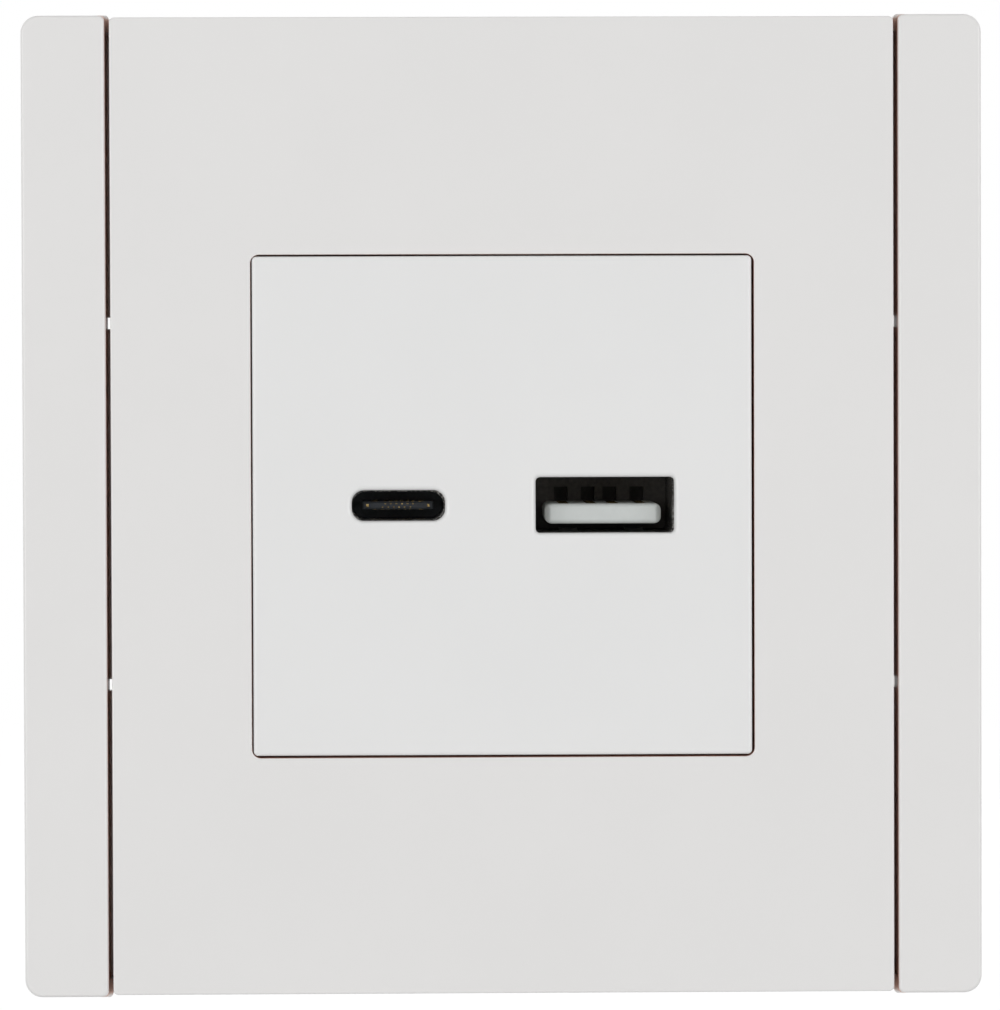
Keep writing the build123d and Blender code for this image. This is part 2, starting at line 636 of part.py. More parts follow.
def main_board():
    depth = (main_board_back, main_board_front)
    board = prism(housing_outline(board_inset), *depth)
    tail_y = grown(busbar_leg, LEAD_CLEARANCE)
    for x in (-TERMINAL_X, TERMINAL_X):
        board -= block(about(x, BUSBAR_TAIL_WIDTH + 2 * LEAD_CLEARANCE), tail_y, depth)
    return board - link_holes(depth)


def link_header():
    body_x = about(0, LINK_PITCH * LINK_PINS)
    body = block(body_x, about(link_y, LINK_BODY), (main_board_front, port_board_back))
    return body - [
        block(about(x, LINK_PIN), about(link_y, LINK_PIN), (main_board_front, port_board_back))
        for x in link_places()
    ]


def link_pins():
    depth = (main_board_back - LEAD_LENGTH, port_board_front + LEAD_LENGTH)
    return [block(about(x, LINK_PIN), about(link_y, LINK_PIN), depth) for x in link_places()]


def spring_finger(tip):
    """A strip of the shell's wall that bends inwards along +Y towards the back, where its tip is."""
    root = tip + USB_A_FINGER_LENGTH
    inner = ((0, root), (USB_A_FINGER_REACH, tip))
    profile = Polyline((-SHELL_SHEET, root), *inner, (-SHELL_SHEET, tip), close=True)
    return extrude(make_face(Plane.YZ * profile), amount=USB_A_FINGER_WIDTH / 2, both=True)


def usb_a_shell():
    shell = prism(usb_a_outline(SHELL_SHEET), port_board_front, shell_front)
    shell -= prism(usb_a_outline(0), port_board_front, shell_front)
    for x, y in usb_a_legs:
        shell += block(x, y, (lead_end, port_board_front + SHELL_LEG))
    finger_tip = shell_front - USB_A_DEPTH / 2 - USB_A_FINGER_LENGTH / 2
    finger = Pos(0, -USB_A_HEIGHT / 2) * spring_finger(finger_tip)
    for x in (-USB_A_FINGER_X, USB_A_FINGER_X):
        shell += Pos(x) * finger
        shell += Pos(x) * (Rot(0, 0, 180) * finger)
    return usb_a_place * shell


def usb_a_contact_boxes(clearance, low, high):
    """The four straight contact blades, grown by a clearance."""
    width = USB_A_CONTACT_WIDTH + 2 * clearance
    y = grown((usb_a_contact_low, usb_a_contact_top), clearance)
    return [block(about(x, width), y, (low, high)) for x in usb_a_pins]


def usb_a_base():
    base = prism(usb_a_outline(-INSULATOR_CLEARANCE), port_board_front, usb_a_wall)
    for x in usb_a_pins:
        slot_y = (USB_A_SLOT_LOW, USB_A_SLOT_HIGH)
        base -= block(about(x, USB_A_SLOT_WIDTH), slot_y, (usb_a_wall - USB_A_SLOT_DEPTH, usb_a_wall))
    base -= usb_a_contact_boxes(CONTACT_CLEARANCE, port_board_front, usb_a_wall)
    return usb_a_place * base


def usb_a_tongue():
    outline = RectangleRounded(USB_A_TONGUE_WIDTH, USB_A_TONGUE_THICKNESS, USB_A_TONGUE_CORNER)
    tongue = prism(outline, usb_a_wall, usb_a_tip)
    tongue = fillet(front_edges(tongue), USB_A_TONGUE_EDGE)
    end = USB_A_TONGUE_WIDTH / 2
    inset = end - USB_A_TONGUE_END_BEVEL
    low = usb_a_tip - USB_A_TONGUE_END_BEVEL
    bevel = Polyline((inset, usb_a_tip), (end, usb_a_tip), (end, low), close=True)
    corner = extrude(make_face(Plane.XZ * bevel), amount=USB_A_TONGUE_THICKNESS, both=True)
    tongue -= [corner, mirror(corner, about=Plane.YZ)]
    tongue = Pos(0, USB_A_TONGUE_TOP - USB_A_TONGUE_THICKNESS / 2) * tongue
    groove_end = usb_a_tip - USB_A_TONGUE_THICKNESS / 2
    tongue -= usb_a_contact_boxes(CONTACT_CLEARANCE, usb_a_wall, groove_end)
    return usb_a_place * tongue


def usb_a_contacts():
    end = usb_a_tip - USB_A_TONGUE_THICKNESS / 2 - CONTACT_CLEARANCE
    return [usb_a_place * blade for blade in usb_a_contact_boxes(0, lead_end, end)]


def usb_c_shell():
    shell = prism(usb_c_outline(SHELL_SHEET), port_board_front, shell_front)
    shell -= prism(usb_c_outline(0), port_board_front, shell_front)
    shell = chamfer(shell.faces().sort_by(Axis.Z)[-1].inner_wires()[0].edges(), USB_C_FLARE)
    for x, y in usb_c_legs:
        shell += block(x, y, (lead_end, port_board_front + SHELL_LEG))
    return usb_c_place * shell


def usb_c_blade(x, width, clearance):
    """A contact blade in the upper face of the tongue, grown by a clearance."""
    face = USB_C_TONGUE_THICKNESS / 2 + CONTACT_CLEARANCE
    y = grown((face - USB_C_CONTACT_THICKNESS, face), clearance)
    end = usb_c_tip - USB_C_CONTACT_SETBACK + clearance
    return block(grown(about(x, width), clearance), y, (port_board_front, end))


def usb_c_signal_blade(x, clearance):
    """A narrow blade whose thin tip reaches the front of the tongue."""
    low = USB_C_TONGUE_THICKNESS / 2 + CONTACT_CLEARANCE - USB_C_CONTACT_THICKNESS
    y = grown((low, low + USB_C_TIP_THICKNESS), clearance)
    z = (usb_c_tip - 2 * USB_C_CONTACT_SETBACK, usb_c_tip)
    tip = block(grown(about(x, USB_C_TIP_WIDTH), clearance), y, z)
    return usb_c_blade(x, USB_C_CONTACT_WIDTH, clearance) + tip


def usb_c_metal(clearance):
    """Both rows of blades and the two ears of the plate between them, grown by a clearance."""
    shift = USB_C_STAGGER / 2
    metal = [usb_c_signal_blade(x + shift, clearance) for x in usb_c_pins]
    lower = [usb_c_signal_blade(x - shift, clearance) for x in usb_c_pins]
    ear_y = grown(about(0, USB_C_EAR_THICKNESS), clearance)
    for side in (-1, 1):
        supply = usb_c_blade(side * USB_C_POWER_SPACING / 2, USB_C_POWER_WIDTH, clearance)
        ear_x = grown(about(side * USB_C_EAR_SPACING / 2, USB_C_EAR_WIDTH), clearance)
        metal += [supply, block(ear_x, ear_y, (port_board_front, usb_c_tip))]
        lower.append(supply)
    return metal + [mirror(blade, about=Plane.XZ) for blade in lower]


def usb_c_insulator():
    body = prism(usb_c_outline(-INSULATOR_CLEARANCE), port_board_front, usb_c_wall)
    tongue = prism(Rectangle(USB_C_TONGUE_WIDTH, USB_C_TONGUE_THICKNESS), usb_c_wall, usb_c_tip)
    body += chamfer(front_edges(tongue), USB_C_TONGUE_CHAMFER)
    body -= usb_c_metal(CONTACT_CLEARANCE)
    return usb_c_place * body


def usb_c_contacts():
    return [usb_c_place * blade for blade in usb_c_metal(0)]


def busbar(x):
    bar_y = (terminal_y - CLAMP_HEIGHT / 2, busbar_leg[1])
    bar = block(about(x, BUSBAR_WIDTH), bar_y, (busbar_back, busbar_front))
    bar += block(about(x, BUSBAR_WIDTH), busbar_leg, (busbar_back, main_board_back))
    tail_depth = (busbar_front, main_board_front + LEAD_LENGTH)
    return bar + block(about(x, BUSBAR_TAIL_WIDTH), busbar_leg, tail_depth)


def clamp(x):
    cage = block(about(0, CLAMP_WIDTH), about(0, CLAMP_HEIGHT), (clamp_back, clamp_front))
    cage = fillet(cage.edges().filter_by(Axis.Y), CLAMP_EDGE)
    inside = CLAMP_WIDTH - 2 * CLAMP_SIDE_WALL
    cage -= block(about(0, inside), about(0, CLAMP_HEIGHT), (nut_front, wire_front))
    hole = Circle(SCREW_RADIUS + SCREW_RUNNING_CLEARANCE)
    cage -= prism(hole, clamp_back, nut_front)
    return Pos(x, terminal_y) * cage


def terminal_screw(x):
    screw = prism(Circle(SCREW_HEAD_RADIUS), head_back, head_front)
    screw = chamfer(screw.faces().sort_by(Axis.Z)[0].edges(), SCREW_HEAD_CLEARANCE)
    screw += prism(Circle(SCREW_RADIUS), head_front, busbar_back - SCREW_RUNNING_CLEARANCE)
    drive_depth = (head_back, head_back + SCREW_DRIVE_DEPTH)
    screw -= block(about(0, 2 * SCREW_HEAD_RADIUS), about(0, SCREW_DRIVE_WIDTH), drive_depth)
    return Pos(x, terminal_y) * screw


transformer_middle = main_board_back - BOBBIN_HEIGHT / 2
core_window = (CORE_WIDTH - CORE_LEG) / 2 - CORE_YOKE
bobbin_width = CORE_LEG + 2 * core_window - 2 * WINDING_CLEARANCE
bobbin_length = CORE_LENGTH - 2 * CORE_YOKE - 2 * WINDING_CLEARANCE
barrel_width = CORE_LEG + 2 * (WINDING_CLEARANCE + BOBBIN_WALL)
barrel_height = CORE_THICKNESS + 2 * (WINDING_CLEARANCE + BOBBIN_WALL)


def at_transformer(piece):
    return Pos(0, TRANSFORMER_Y, transformer_middle) * piece


def transformer_core():
    core = Box(CORE_WIDTH, CORE_LENGTH, CORE_THICKNESS)
    for side in (-1, 1):
        x = side * (CORE_LEG + core_window) / 2
        core -= Pos(x) * Box(core_window, CORE_LENGTH - 2 * CORE_YOKE, CORE_THICKNESS)
    return at_transformer(core)


def transformer_bobbin():
    bobbin = Box(barrel_width, bobbin_length, barrel_height)
    for side in (-1, 1):
        y = side * (bobbin_length - BOBBIN_FLANGE) / 2
        bobbin += Pos(0, y) * Box(bobbin_width, BOBBIN_FLANGE, BOBBIN_HEIGHT)
    bobbin -= Box(CORE_LEG + 2 * WINDING_CLEARANCE, bobbin_length, CORE_THICKNESS + 2 * WINDING_CLEARANCE)
    return at_transformer(bobbin)


def transformer_winding():
    length = bobbin_length - 2 * BOBBIN_FLANGE - 2 * WINDING_CLEARANCE
    coil = Box(bobbin_width - 2 * BOBBIN_WALL, length, BOBBIN_HEIGHT - 2 * BOBBIN_WALL)
    coil = fillet(coil.edges().filter_by(Axis.Y), BOBBIN_FLANGE)
    coil -= Box(barrel_width + 2 * WINDING_CLEARANCE, length, barrel_height + 2 * WINDING_CLEARANCE)
    return at_transformer(coil)


def cans(x, places, radius, length):
    """Upright electrolytic capacitors on the main board."""
    can = prism(Circle(radius), main_board_back - length, main_board_back)
    can = fillet(can.faces().sort_by(Axis.Z)[0].edges(), CAN_EDGE)
    return [Pos(x, y) * can for y in places]


def output_choke():
    low = main_board_back - CHOKE_LENGTH
    drum = prism(Circle(CHOKE_RADIUS), low, main_board_back)
    waist = prism(Circle(CHOKE_RADIUS), low + CHOKE_WAIST, main_board_back - CHOKE_WAIST)
    waist -= prism(Circle(CHOKE_RADIUS - CHOKE_WAIST), low + CHOKE_WAIST, main_board_back - CHOKE_WAIST)
    return Pos(output_x, choke_y) * (drum - waist)


def fuse():
    tube = Rot(0, 90, 0) * Cylinder(FUSE_RADIUS, FUSE_LENGTH)
    return Pos(bulk_x, fuse_y, main_board_back - FUSE_RADIUS) * tube


def safety_capacitor():
    disc = fillet(Cylinder(DISC_RADIUS, DISC_THICKNESS).edges().filter_by(GeomType.CIRCLE), CAN_EDGE)
    return Pos(0, DISC_Y, main_board_back - DISC_RADIUS) * (Rot(90, 0, 0) * disc)


def bridge_rectifier():
    return Pos(output_x, bridge_y, main_board_back - BRIDGE_SIZE[2] / 2) * Box(*BRIDGE_SIZE)


def power_switch():
    return Pos(SWITCH_X, switch_y, main_board_front + CHIP_SIZE[2] / 2) * Box(*CHIP_SIZE)


def port_controller():
    return Pos(*CONTROLLER_PLACE, port_board_back - CHIP_SIZE[2] / 2) * Box(*CHIP_SIZE)


trim_strip = right_trim_strip()
pieces = {
    "frame_plate": frame_plate(),
    "right_trim_strip": trim_strip,
    "left_trim_strip": mirror(trim_strip, about=Plane.YZ),
    "centre_cover": centre_cover(),
    "support_ring": support_ring(),
    "front_housing": front_housing(),
    "rear_housing": rear_housing(),
    "port_board": port_board(),
    "main_board": main_board(),
    "link_header": link_header(),
    "link_pins": link_pins(),
    "usb_a_shell": usb_a_shell(),
    "usb_a_base": usb_a_base(),
    "usb_a_tongue": usb_a_tongue(),
    "usb_a_contacts": usb_a_contacts(),
    "usb_c_shell": usb_c_shell(),
    "usb_c_insulator": usb_c_insulator(),
    "usb_c_contacts": usb_c_contacts(),
    "line_busbar": busbar(-TERMINAL_X),
    "neutral_busbar": busbar(TERMINAL_X),
    "line_clamp": clamp(-TERMINAL_X),
    "neutral_clamp": clamp(TERMINAL_X),
    "line_screw": terminal_screw(-TERMINAL_X),
    "neutral_screw": terminal_screw(TERMINAL_X),
    "transformer_core": transformer_core(),
    "transformer_bobbin": transformer_bobbin(),
    "transformer_winding": transformer_winding(),
    "bulk_capacitors": cans(bulk_x, BULK_Y, BULK_RADIUS, BULK_LENGTH),
    "output_capacitors": cans(output_x, output_y, OUTPUT_RADIUS, OUTPUT_LENGTH),
    "output_choke": output_choke(),
    "fuse": fuse(),
    "safety_capacitor": safety_capacitor(),
    "bridge_rectifier": bridge_rectifier(),
    "power_switch": power_switch(),
    "port_controller": port_controller(),
}

os.makedirs("parts", exist_ok=True)
for name, piece in pieces.items():
    solids = piece if isinstance(piece, list) else [piece]
    turned = [solid for part in solids for solid in (Rot(90, 0, 0) * part).solids()]
    export_step(Compound(children=turned), f"parts/{name}.step")
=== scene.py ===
# The looks of a white flush-mounted USB charger socket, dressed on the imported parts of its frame.
# Lengths are in metres: X to the right, Y into the wall, Z up. Colours are linear.

import json
import math

import bpy
from mathutils import Matrix, Vector


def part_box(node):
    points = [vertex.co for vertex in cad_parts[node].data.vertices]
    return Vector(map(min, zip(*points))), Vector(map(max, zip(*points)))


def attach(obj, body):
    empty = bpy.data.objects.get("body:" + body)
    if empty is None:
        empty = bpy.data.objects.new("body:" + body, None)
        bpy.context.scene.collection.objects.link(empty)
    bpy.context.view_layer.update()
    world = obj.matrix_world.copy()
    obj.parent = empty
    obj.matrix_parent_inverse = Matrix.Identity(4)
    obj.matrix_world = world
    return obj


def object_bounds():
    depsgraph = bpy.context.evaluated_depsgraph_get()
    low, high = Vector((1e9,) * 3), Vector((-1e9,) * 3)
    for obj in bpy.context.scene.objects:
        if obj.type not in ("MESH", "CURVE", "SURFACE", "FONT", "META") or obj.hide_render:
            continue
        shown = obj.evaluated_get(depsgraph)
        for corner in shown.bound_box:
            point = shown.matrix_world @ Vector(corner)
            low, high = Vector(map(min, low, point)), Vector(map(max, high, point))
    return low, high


# Camera, fitted to the edges of the frame, the strips and the cover in the photograph
CAMERA_PLACE = (-0.00946, -0.490, 0.01173)
CAMERA_TILT = math.radians(1.389)
CAMERA_ROLL = math.radians(-0.181)
CAMERA_PAN = math.radians(1.1015)
CAMERA_REACH = (0.01, 20.0)  # nearest and farthest distance that it shows
IMAGE_HEIGHT = 1010  # pixels
FOCAL_PIXELS = 5325.2
SENSOR_HEIGHT = 36.0  # millimetres

# Stage and light
FLOOR_DROP = 0.030  # below the object
FLOOR_RADIUS = 0.9
FLOOR_CORNERS = 64
FLOOR_FADE = (0.15, 0.85)  # distances from the middle between which the floor thins out
FLOOR_GREY = (0.55, 0.55, 0.55)
FLOOR_TONES = (1.00, 1.01)
FLOOR_CLOUD = 0.02
FLOOR_ROUGHNESS = 0.9
FLOOR_GLOW = 0.55  # lifts the floor to white where it is seen and no shadow falls
WORLD_LEVEL = 0.40
LAMPS = {
    "left": {"place": (-0.85, -0.85, 0.00), "size": 0.8, "power": 6.3, "mirrored": True},
    "right": {"place": (0.85, -0.85, 0.00), "size": 0.8, "power": 6.0, "mirrored": True},
    "top": {"place": (0.00, -0.60, 1.00), "size": 0.8, "power": 0.9, "mirrored": True},
    "back left": {"place": (-0.95, 0.80, 0.45), "size": 0.9, "power": 6.0, "mirrored": False},
    "back right": {"place": (0.95, 0.80, 0.45), "size": 0.9, "power": 6.0, "mirrored": False},
}

# Letters moulded beside the terminals
MARK_HEIGHT = 0.0030
CAPITAL_SHARE = 0.7  # height of a capital letter as a share of its font's size
MARK_RELIEF = 0.00022
MARK_EDGE = MARK_RELIEF / 8
MARK_PANEL_DEPTH = 0.0003
MARK_RISE = 0.0066  # above the middle of the screw

# Values that several materials share
FULL_SPAN = (0.0, 1.0)  # of a factor, over which a colour or number changes
NOISE_SPAN = (0.3, 0.7)  # in which most of a noise lies
RAY_SAMPLES = 8  # of the nodes that look at neighbouring faces

# Moulded plastic
WHITE = (1.0, 1.0, 1.0)
FRAME_WHITE = (0.756, 0.748, 0.740)
COVER_WHITE = (0.771, 0.771, 0.767)
HOUSING_WHITE = (0.60, 0.60, 0.585)
MOULD_CLOUD = 0.014
MOULD_SPAN = (0.35, 0.65)
GLOSS_PATCH = 0.004
GLOSS_SPREAD = 0.04  # of the roughness

# Painted shade: warm in the narrow seams between white pieces, and dark in the slots of the black port wall
SEAM_PAINTED_SHADE = {"width": 0.0010, "tint": (1.00, 0.58, 0.42), "span": (0.05, 0.5)}
SLOT_PAINTED_SHADE = {"width": 0.0013, "tint": (0.25, 0.25, 0.25), "span": (0.05, 0.6)}

# Rolled sheet and plated strip
ROLL_LINE = 0.00012
ROLL_STRETCH = 18.0
SHEET_CLOUD = 0.005
SHEET_TONES = (0.86, 1.08)
SHEET_SMOOTHER = 0.08  # change of roughness across the rolling lines
SHEET_ROUGHER = 0.12
STRIP_ROUGHNESS = 0.26
STRIP_RELIEF = 1e-6
SHADED_CUT_FACING = (-0.7, -0.4)  # Y of a face's normal, from a cut edge towards the room, painted dark as shade, to a side
CUT_ROUGHNESS = 0.75
CUT_METALLIC = 0.3
SPECK_SIZE = 0.00011
SPECK_SPAN = (0.52, 0.60)
SPECK_DULLNESS = 0.2  # how much of a cut edge's look a speck of plating keeps

# Circuit boards
BOARD_GREENS = ((0.010, 0.105, 0.035), (0.016, 0.150, 0.050))
BOARD_CLOUD = 0.003
BOARD_ROUGHNESS = (0.25, 0.4)
TRACKS = {"Scale": 320.0, "Mortar Size": 0.06, "Mortar Smooth": 0.2, "Bias": 0.0}
TRACK_HEIGHT = 0.00003
TRACK_STRENGTH = 0.6

# Plain finishes
FINISH_SPREAD = 0.08  # change of roughness from cloud to cloud

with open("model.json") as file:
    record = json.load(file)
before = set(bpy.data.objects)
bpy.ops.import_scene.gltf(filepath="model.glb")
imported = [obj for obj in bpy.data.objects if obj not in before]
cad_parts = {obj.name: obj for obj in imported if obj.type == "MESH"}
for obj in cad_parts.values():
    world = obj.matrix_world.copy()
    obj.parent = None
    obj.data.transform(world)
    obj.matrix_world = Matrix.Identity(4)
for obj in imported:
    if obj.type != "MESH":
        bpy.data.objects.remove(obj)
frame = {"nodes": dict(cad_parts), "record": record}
cad_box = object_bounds()
nodes = frame["nodes"]
slot_of = {part["node"]: part["material_slot"] for part in frame["record"]["subparts"]}


# Shader building blocks


def start_material(name):
    """A new material: its node tree, its shader and the place on the object in metres."""
    material = bpy.data.materials.new(name)
    material.use_nodes = True
    tree = material.node_tree
    place = tree.nodes.new("ShaderNodeTexCoord").outputs["Object"]
    return material, tree, tree.nodes["Principled BSDF"], place


def feed(tree, target, sockets):
    """Sets a node's inputs; each takes a number or colour, or the output that feeds it."""
    for name, value in sockets.items():
        if isinstance(value, bpy.types.NodeSocket):
            tree.links.new(value, target.inputs[name])
        else:
            target.inputs[name].default_value = value


def node(tree, kind, sockets, **settings):
    """Adds a shader node with its settings and its inputs."""
    made = tree.nodes.new("ShaderNode" + kind)
    for name, value in settings.items():
        setattr(made, name, value)
    feed(tree, made, sockets)
    return made


def noise(tree, place, size, detail=3.0, stretch=(1.0, 1.0, 1.0)):
    """Noise whose marks are about as large as the size given, drawn out along an axis."""
    scale = [1 / (size * length) for length in stretch]
    spread = node(tree, "Mapping", {"Vector": place, "Scale": scale})
    made = node(tree, "TexNoise", {"Vector": spread.outputs["Vector"], "Scale": 1.0, "Detail": detail})
    return made.outputs["Fac"]


def rolling_lines(tree, place, rolled_along):
    """Fine lines drawn out along the axis in which a metal was rolled."""
    stretch = [ROLL_STRETCH if axis == rolled_along else 1.0 for axis in "XYZ"]
    return noise(tree, place, ROLL_LINE, detail=4.0, stretch=stretch)


def between(tree, factor, low, high, span=NOISE_SPAN):
    """A number that runs from low to high while the factor crosses a span."""
    start, end = span
    sockets = {"Value": factor, "From Min": start, "From Max": end, "To Min": low, "To Max": high}
    return node(tree, "MapRange", sockets).outputs["Result"]


def either(tree, first, second):
    """The larger of two factors."""
    return node(tree, "Math", {0: first, 1: second}, operation="MAXIMUM").outputs["Value"]


def ramp(tree, factor, first, last, span=NOISE_SPAN):
    """A colour that runs from the first to the last while the factor crosses a span."""
    made = node(tree, "ValToRGB", {"Fac": factor})
    for element, position, colour in zip(made.color_ramp.elements, span, (first, last)):
        element.position = position
        element.color = (*colour, 1.0)
    return made.outputs["Color"]


def mottled(tree, factor, colour, tones, span=NOISE_SPAN):
    """A colour that runs from its darkest to its lightest tone while the factor crosses a span."""
    first, last = (tuple(channel * tone for channel in colour) for tone in tones)
    return ramp(tree, factor, first, last, span)


def paint_narrow_shade(tree, colour, width, tint, span):
    """Painted shade: the colour given, tinted where other walls stand within a width."""
    openness = node(tree, "AmbientOcclusion", {"Distance": width}, samples=RAY_SAMPLES).outputs["AO"]
    painted_shade = ramp(tree, openness, tint, WHITE, span)
    mixed = node(tree, "MixRGB", {"Fac": 1.0, "Color1": colour, "Color2": painted_shade}, blend_type="MULTIPLY")
    return mixed.outputs["Color"]


def relief(tree, shader, height, depth, strength=1.0, softened=0.0):
    """Turns a height from 0 to 1 into a bump of the depth given, on edges softened by a radius."""
    bump = node(tree, "Bump", {"Height": height, "Distance": depth, "Strength": strength})
    if softened:
        edge = node(tree, "Bevel", {"Radius": softened}, samples=RAY_SAMPLES)
        tree.links.new(edge.outputs["Normal"], bump.inputs["Normal"])
    tree.links.new(bump.outputs["Normal"], shader.inputs["Normal"])


# Materials


def moulded_plastic(name, colour, roughness, grain, depth, mottle=0.006):
    """Moulded plastic: faint cloudy colour, painted warm shade in the seams, uneven gloss and a fine grain.
    """
    material, tree, shader, place = start_material(name)
    clouds = noise(tree, place, MOULD_CLOUD)
    patches = noise(tree, place, GLOSS_PATCH)
    cloudy = mottled(tree, clouds, colour, (1 - mottle, 1 + mottle), MOULD_SPAN)
    sockets = {
        "Base Color": paint_narrow_shade(tree, cloudy, **SEAM_PAINTED_SHADE),
        "Roughness": between(tree, patches, roughness * (1 - GLOSS_SPREAD), roughness * (1 + GLOSS_SPREAD)),
    }
    feed(tree, shader, sockets)
    relief(tree, shader, noise(tree, place, grain, detail=2.0), depth)
    return material


def sheet_metal(name, colour, roughness, rolled_along, depth):
    """Rolled and plated sheet: lines drawn out along one axis, and cloudy plating."""
    material, tree, shader, place = start_material(name)
    lines = rolling_lines(tree, place, rolled_along)
    clouds = noise(tree, place, SHEET_CLOUD, detail=5.0)
    sockets = {
        "Base Color": mottled(tree, clouds, colour, SHEET_TONES),
        "Metallic": 1.0,
        "Roughness": between(tree, lines, roughness - SHEET_SMOOTHER, roughness + SHEET_ROUGHER),
    }
    feed(tree, shader, sockets)
    relief(tree, shader, lines, depth)
    return material


def plated_strip(name, colour, cut_and_shade_colour):
    """Plated strip, whose cut edges towards the room are dull, with specks of plating, and painted dark as
    shade.
    """
    material, tree, shader, place = start_material(name)
    normal = node(tree, "NewGeometry", {}).outputs["True Normal"]
    outward = node(tree, "SeparateXYZ", {"Vector": normal}).outputs["Y"]
    # Painted shade: faces towards the room, the cut edges, turn dark; their dullness is the cut metal's own
    cut_and_shaded = between(tree, outward, 1.0, 0.0, SHADED_CUT_FACING)
    unplated = between(tree, noise(tree, place, SPECK_SIZE), 1.0, SPECK_DULLNESS, SPECK_SPAN)
    bare_and_shaded = node(tree, "Math", {0: cut_and_shaded, 1: unplated}, operation="MULTIPLY").outputs["Value"]
    sockets = {
        "Base Color": ramp(tree, bare_and_shaded, colour, cut_and_shade_colour, FULL_SPAN),
        "Metallic": between(tree, bare_and_shaded, 1.0, CUT_METALLIC, FULL_SPAN),
        "Roughness": between(tree, bare_and_shaded, STRIP_ROUGHNESS, CUT_ROUGHNESS, FULL_SPAN),
    }
    feed(tree, shader, sockets)
    relief(tree, shader, rolling_lines(tree, place, "Y"), STRIP_RELIEF)
    return material


def solder_mask(name):
    """Green lacquer that shows the tracks below as a slight relief."""
    material, tree, shader, place = start_material(name)
    clouds = noise(tree, place, BOARD_CLOUD)
    sockets = {
        "Base Color": ramp(tree, clouds, *BOARD_GREENS),
        "Roughness": between(tree, clouds, *BOARD_ROUGHNESS),
    }
    feed(tree, shader, sockets)
    tracks = node(tree, "TexBrick", {"Vector": place, **TRACKS}).outputs["Fac"]
    relief(tree, shader, tracks, TRACK_HEIGHT, strength=TRACK_STRENGTH)
    return material


def plain_finish(name, colour, roughness, size, depth, spread=0.25, gloss=0.5, softened=0.0, slots=None):
    """A hard finish with cloudy colour and a slight relief; painted shade may darken its slots."""
    material, tree, shader, place = start_material(name)
    clouds = noise(tree, place, size, detail=4.0)
    base = mottled(tree, clouds, colour, (1 - spread, 1 + spread))
    if slots:
        base = paint_narrow_shade(tree, base, **slots)
    sockets = {
        "Base Color": base,
        "Roughness": between(tree, clouds, roughness - FINISH_SPREAD, roughness + FINISH_SPREAD),
        "Specular IOR Level": gloss,
    }
    feed(tree, shader, sockets)
    relief(tree, shader, clouds, depth, softened=softened)
    return material


# The finish of each material slot in the record
FINISHES = {
    "white_plastic": (moulded_plastic, dict(colour=FRAME_WHITE, roughness=0.30, grain=0.00025, depth=2e-6)),
    "cover_plastic": (moulded_plastic, dict(colour=COVER_WHITE, roughness=0.29, grain=0.00025, depth=2e-6)),
    "housing_plastic": (
        moulded_plastic,
        dict(colour=HOUSING_WHITE, roughness=0.55, grain=0.00035, depth=12e-6, mottle=0.02),
    ),
    "ring_steel": (
        sheet_metal,
        dict(colour=(0.52, 0.53, 0.54), roughness=0.44, rolled_along="X", depth=3e-6),
    ),
    "terminal_steel": (
        sheet_metal,
        dict(colour=(0.58, 0.58, 0.56), roughness=0.32, rolled_along="X", depth=3e-6),
    ),
    "terminal_brass": (
        sheet_metal,
        dict(colour=(0.70, 0.52, 0.24), roughness=0.30, rolled_along="Z", depth=2e-6),
    ),
    # The cut colours are painted shade: near black on the shell, dark bronze on the contacts
    "shell_steel": (plated_strip, dict(colour=(0.56, 0.55, 0.53), cut_and_shade_colour=(0.012, 0.011, 0.010))),
    "gold_contact": (plated_strip, dict(colour=(0.80, 0.58, 0.22), cut_and_shade_colour=(0.13, 0.08, 0.027))),
    "board_laminate": (solder_mask, {}),
    "black_plastic": (
        plain_finish,
        dict(
            colour=(0.060, 0.056, 0.051),
            roughness=0.6,
            size=0.0004,
            depth=4e-6,
            gloss=0.2,
            # painted shade, darker in the slots
            slots=SLOT_PAINTED_SHADE,
        ),
    ),
    "port_insulator": (
        plain_finish,
        dict(colour=(0.024, 0.027, 0.031), roughness=0.6, size=0.0003, depth=3e-6, gloss=0.2),
    ),
    "tongue_plastic": (
        plain_finish,
        dict(
            colour=(0.545, 0.57, 0.558),
            roughness=0.45,
            size=0.0006,
            depth=3e-6,
            spread=0.02,
            softened=0.0004,
        ),
    ),
    "ferrite": (plain_finish, dict(colour=(0.035, 0.035, 0.04), roughness=0.6, size=0.0005, depth=10e-6)),
    "winding_tape": (
        plain_finish,
        dict(colour=(0.72, 0.50, 0.05), roughness=0.35, size=0.002, depth=10e-6, spread=0.08),
    ),
    "capacitor_sleeve": (
        plain_finish,
        dict(colour=(0.02, 0.03, 0.07), roughness=0.3, size=0.002, depth=5e-6),
    ),
    "disc_enamel": (
        plain_finish,
        dict(colour=(0.03, 0.12, 0.36), roughness=0.25, size=0.0015, depth=20e-6, spread=0.1),
    ),
}

materials = {name: finish(name, **values) for name, (finish, values) in FINISHES.items()}

for name, piece in nodes.items():
    piece.data.materials.clear()
    piece.data.materials.append(materials[slot_of[name]])


# Letters that name the terminals


def add_object(name, data):
    """A new object in the scene, made of the data given."""
    made = bpy.data.objects.new(name, data)
    bpy.context.scene.collection.objects.link(made)
    return made


def letter_mesh(letter):
    """A flat raised letter, centred on its own middle."""
    text = bpy.data.curves.new(letter + "_letter", "FONT")
    text.body = letter
    text.size = MARK_HEIGHT / CAPITAL_SHARE
    text.align_x = "CENTER"
    text.align_y = "CENTER"
    text.extrude = MARK_RELIEF / 2
    text.bevel_depth = MARK_EDGE
    drawn = add_object(letter + "_drawn", text)
    bpy.context.view_layer.update()
    mesh = bpy.data.meshes.new_from_object(drawn.evaluated_get(bpy.context.evaluated_depsgraph_get()))
    bpy.data.objects.remove(drawn)
    return mesh


